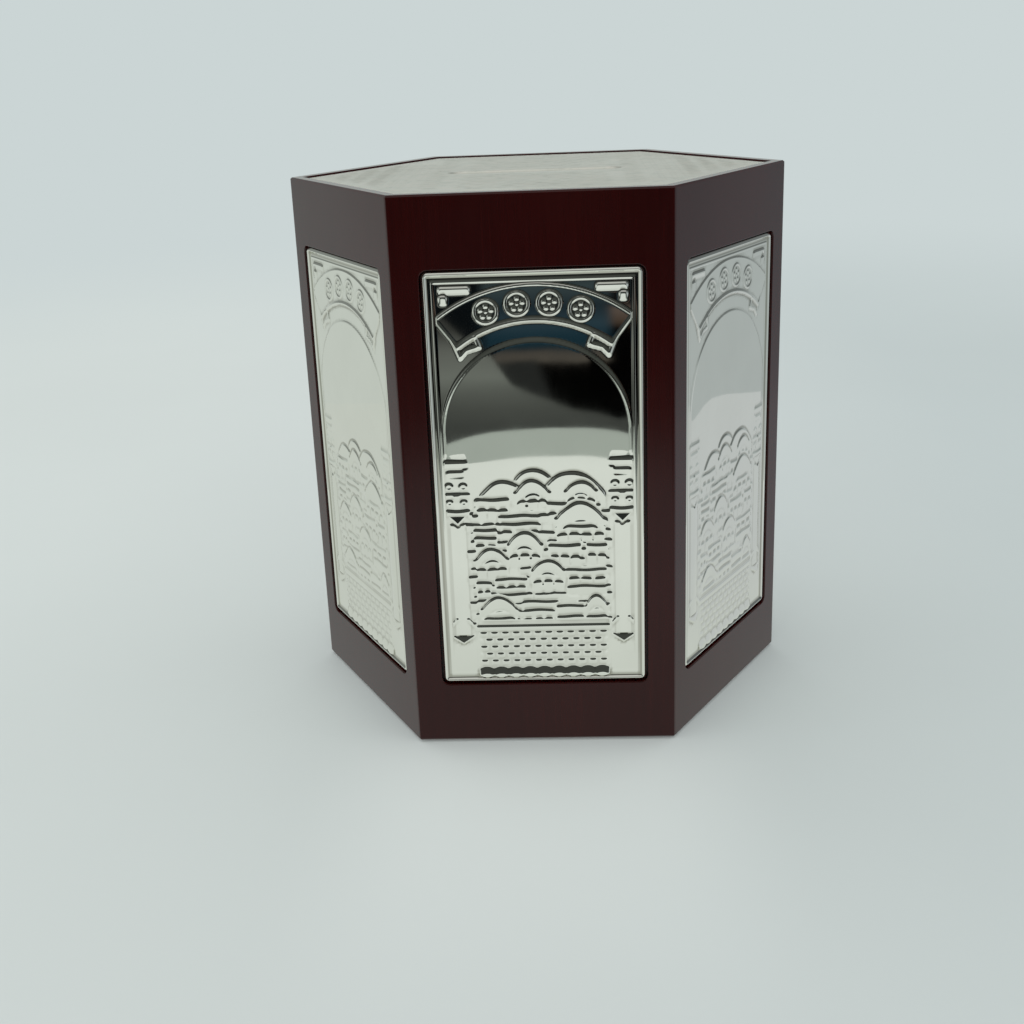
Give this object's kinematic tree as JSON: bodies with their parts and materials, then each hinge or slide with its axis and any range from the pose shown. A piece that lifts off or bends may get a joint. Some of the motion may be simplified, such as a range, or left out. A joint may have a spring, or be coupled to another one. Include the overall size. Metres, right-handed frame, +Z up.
{
  "type": "tzedakah box",
  "caption": "Hexagonal lacquered wooden charity box with stamped silver-plated plates on its sides and top, a coin slot, and a pull-out stopper in its base.",
  "frame": {"origin": "middle of the underside of the felt, at the centre of the hexagon", "axes": "+Z up along the hexagon's axis, -Y out of the front plate, +X to the right seen from the front"},
  "size_m": [0.113, 0.098, 0.12],
  "materials": {
    "lacquered_wood": "dark mahogany lacquer, satin gloss",
    "fibreboard": "stained fibreboard, matte",
    "silver_plate": "silver plated, polished",
    "foam_adhesive": "foam",
    "felt": "felt",
    "stopper_rubber": "matte"
  },
  "bodies": {
    "case": {"wall_front": "lacquered_wood", "plate_adhesive_front": "foam_adhesive", "silver_plate_front": "silver_plate", "wall_front_right": "lacquered_wood", "plate_adhesive_front_right": "foam_adhesive", "silver_plate_front_right": "silver_plate", "wall_back_right": "lacquered_wood", "plate_adhesive_back_right": "foam_adhesive", "silver_plate_back_right": "silver_plate", "wall_back": "lacquered_wood", "plate_adhesive_back": "foam_adhesive", "silver_plate_back": "silver_plate", "wall_back_left": "lacquered_wood", "plate_adhesive_back_left": "foam_adhesive", "silver_plate_back_left": "silver_plate", "wall_front_left": "lacquered_wood", "plate_adhesive_front_left": "foam_adhesive", "silver_plate_front_left": "silver_plate", "top_board": "fibreboard", "top_plate_adhesive": "foam_adhesive", "silver_plate_top": "silver_plate", "base_board": "fibreboard", "base_felt": "felt"},
    "stopper": {"stopper": "stopper_rubber"}
  },
  "joints": [
    {"name": "stopper_pull", "type": "slide", "parent": "case", "child": "stopper", "axis": [0, 0, -1], "range_m": [0, 0.03]}
  ]
}
